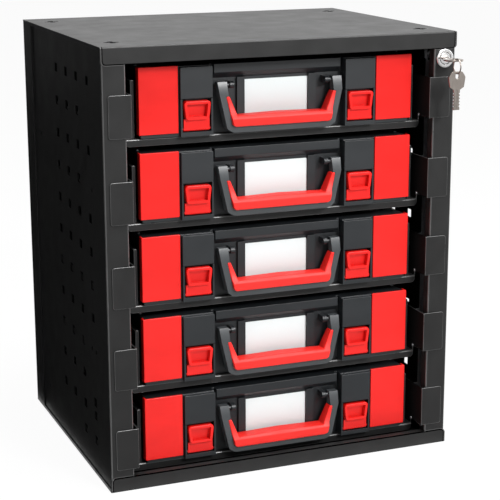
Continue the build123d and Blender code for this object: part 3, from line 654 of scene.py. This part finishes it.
def finish_cabinet(frame, finishes):
    """The cabinet's panels, rails, stacking sockets and the guides of the lock bar."""
    steel, panel_steel = finishes["steel"], finishes["panel steel"]
    edge, painted_shade = finishes["painted highlight steel"], finishes["painted shade steel"]
    for name in ("top_panel", "bottom_panel", "rear_panel"):
        # Bends along the depth get the painted highlight
        bends = [(edge, bends_along_depth)]
        softened(frame, name, name + "_steel", panel_steel, PANEL_ROUNDING, others=bends)
    for name in ("side_left", "side_right"):
        # Long bends get the painted highlight; walls of punched holes get the painted shade
        walls = [(edge, long_bend), (painted_shade, hole_wall)]
        softened(frame, name, name + "_steel", panel_steel, SIDE_ROUNDING, others=walls)
    dress(frame, "slide_rails", steel)
    dress(frame, "bar_guides", steel)
    softened(frame, "stacking_plugs", "stacking_sockets", finishes["socket"], SOCKET_ROUNDING)


def finish_lock(frame, finishes):
    """The lock, its bar and the keys on their ring."""
    chrome, nickel, zinc = finishes["chrome"], finishes["nickel"], finishes["zinc"]
    softened(frame, "lock_barrel", "lock_bezel", chrome, BEZEL_ROUNDING)
    softened(frame, "lock_plug", "lock_core_face", chrome, PLUG_ROUNDING)
    dress(frame, "lock_cam", zinc)
    dress(frame, "lock_bar", zinc)
    dress(frame, "key_ring", nickel)
    softened(frame, "key", "key_in_lock", nickel, KEY_ROUNDING)
    softened(frame, "spare_key", "key_on_ring", nickel, KEY_ROUNDING)


def finish_bay(frame, bay, finishes, stud_maker):
    """A tray with its case, corner plates, handle, label and latches."""
    case, red = finishes["case"], finishes["red"]
    # Bends of the tray get the painted highlight; its faces pointing along the width, behind the front, get
    # the painted shade
    bends = [(finishes["painted highlight steel"], slants), (finishes["painted shade steel"], faces_inwards)]
    softened(frame, f"tray_{bay}", f"tray_steel_{bay}", finishes["steel"], TRAY_ROUNDING, others=bends)
    softened(frame, f"case_base_{bay}", f"base_shell_{bay}", case, BASE_ROUNDING)
    softened(frame, f"case_lid_{bay}", f"lid_shell_{bay}", case, LID_ROUNDING)
    softened(frame, f"corner_plates_{bay}", f"corner_panels_{bay}", red, PLATE_ROUNDING)
    softened(frame, f"handle_{bay}", f"bail_{bay}", finishes["bail"], BAIL_ROUNDING, segments=3)
    softened(frame, f"grip_{bay}", f"grip_pad_{bay}", finishes["grip"], GRIP_ROUNDING, segments=4)
    dress(frame, f"label_{bay}", finishes["card"])
    for side in SIDES:
        softened(frame, f"latch_{side}_{bay}", f"{side}_latch_{bay}", red, LATCH_ROUNDING, segments=3)
    finish_studs(frame, bay, stud_maker)


def place_camera():
    """Sets the scene's camera."""
    data = bpy.data.cameras.new("camera")
    data.lens = CAMERA_LENS
    data.sensor_width = SENSOR_WIDTH
    data.clip_end = CAMERA_RANGE
    camera = add_object("camera", data)
    azimuth = math.radians(CAMERA_AZIMUTH)
    elevation = math.radians(CAMERA_ELEVATION)
    back = Vector(
        (
            math.sin(azimuth) * math.cos(elevation),
            -math.cos(azimuth) * math.cos(elevation),
            math.sin(elevation),
        )
    )
    turn = back.to_track_quat("Z", "Y").to_matrix().to_4x4()
    roll = Euler((0, 0, math.radians(CAMERA_ROLL))).to_matrix().to_4x4()
    camera.matrix_world = turn @ roll
    camera.location = CAMERA_PLACE
    bpy.context.scene.camera = camera


def add_floor():
    """The pale floor: white to the eye, and lit as paper."""
    reach = FLOOR_REACH
    mesh = bpy.data.meshes.new("floor")
    corners = [(-reach, -reach, 0), (reach, -reach, 0), (reach, reach, 0), (-reach, reach, 0)]
    mesh.from_pydata(corners, [], [(0, 1, 2, 3)])
    floor = add_object("floor", mesh)
    finish = Finish("floor")
    paper = finish.node("ShaderNodeBsdfDiffuse", {}, {"Color": FLOOR_PAPER})
    glow = finish.node("ShaderNodeEmission", {}, {"Color": WHITE, "Strength": 1.0})
    mixed = finish.node("ShaderNodeMixShader", {}, [finish.seen_directly() * FLOOR_GLOW, paper, glow])
    floor.data.materials.append(finish.close(mixed))


def add_card(name, sheets, grey):
    """Sheets of grey card that only reflections see, each given by its four corners."""
    mesh = bpy.data.meshes.new(name)
    corners = [corner for sheet in sheets for corner in sheet]
    mesh.from_pydata(corners, [], [range(start, start + 4) for start in range(0, len(corners), 4)])
    made = add_object(name, mesh)
    made.visible_camera = False
    made.visible_diffuse = False
    made.visible_shadow = False
    finish = Finish(name)
    glow = finish.node("ShaderNodeEmission", {}, {"Color": (grey, grey, grey, 1.0), "Strength": 1.0})
    made.data.materials.append(finish.close(glow))


def floor_sheet(left, right, near, far):
    """The corners of a sheet that lies on the floor."""
    lift = SHEET_LIFT
    return [(left, near, lift), (right, near, lift), (right, far, lift), (left, far, lift)]


def add_cards():
    """The cards beside the cabinet and before it."""
    corner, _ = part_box("top_panel")
    x, near, far, height = SIDE_CARD_X, SIDE_CARD_START, SIDE_CARD_END, SIDE_CARD_HEIGHT
    side_card = [(x, near, 0.0), (x, far, 0.0), (x, far, height), (x, near, height)]
    side_sheet = floor_sheet(x, corner.x - SIDE_SHEET_GAP, corner.y + SIDE_SHEET_SETBACK, far)
    add_card("studio_flag", [side_card, side_sheet], SIDE_CARD_GREY)
    reach = FRONT_SHEET_REACH
    front_sheet = floor_sheet(-reach, reach, FRONT_SHEET_START, corner.y - FRONT_SHEET_GAP)
    add_card("front_sheet", [front_sheet], FRONT_SHEET_GREY)


def add_surroundings():
    """Surroundings that look white and light the cabinet softly."""
    world = bpy.data.worlds.new("studio")
    bpy.context.scene.world = world
    world.use_nodes = True
    sky = Wiring(world.node_tree)
    sky.tree.nodes.clear()
    soft = sky.node("ShaderNodeBackground", {}, {"Color": WHITE, "Strength": SURROUNDINGS_LIGHT})
    white = sky.node("ShaderNodeBackground", {}, {"Color": WHITE, "Strength": 1.0})
    mixed = sky.node("ShaderNodeMixShader", {}, [sky.seen_directly(), soft, white])
    sky.node("ShaderNodeOutputWorld", {}, {"Surface": mixed})


def add_lamp(name, watts, place, aim, size):
    """A rectangular lamp that shines from its place towards a point."""
    data = bpy.data.lights.new(name, "AREA")
    data.shape = "RECTANGLE"
    data.size, data.size_y = size
    data.energy = watts
    lamp = add_object(name, data)
    lamp.location = place
    lamp.rotation_euler = (Vector(aim) - Vector(place)).to_track_quat("-Z", "Y").to_euler()


def build_stage():
    """The floor, the cards, the surroundings and the lamps."""
    add_floor()
    add_cards()
    add_surroundings()
    add_lamp("overhead softbox", 52.0, place=(0.2, -0.35, 1.9), aim=(0.0, -0.05, 0.3), size=(1.5, 0.9))
    add_lamp("front softbox", 62.0, place=(0.75, -2.4, 1.75), aim=(0.0, 0.0, 0.25), size=(0.6, 0.5))
    add_lamp("upper right softbox", 2.6, place=(0.62, -0.95, 1.0), aim=(0.2, -0.17, 0.46), size=(0.36, 0.36))
    add_lamp("right edge light", 10.0, place=(2.4, -0.6, 1.0), aim=(0.0, 0.0, 0.3), size=(0.8, 1.8))


def main():
    """Dresses the frame and sets the stage."""
    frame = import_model()
    cad_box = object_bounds()
    place_camera()
    build_stage()
    finishes = make_finishes(cad_box)
    finish_cabinet(frame, finishes)
    finish_lock(frame, finishes)
    stud_maker = stud_group(finishes["zinc"])
    for bay in range(1, BAYS + 1):
        finish_bay(frame, bay, finishes, stud_maker)


main()
bpy.context.scene.view_settings.view_transform = "Standard"
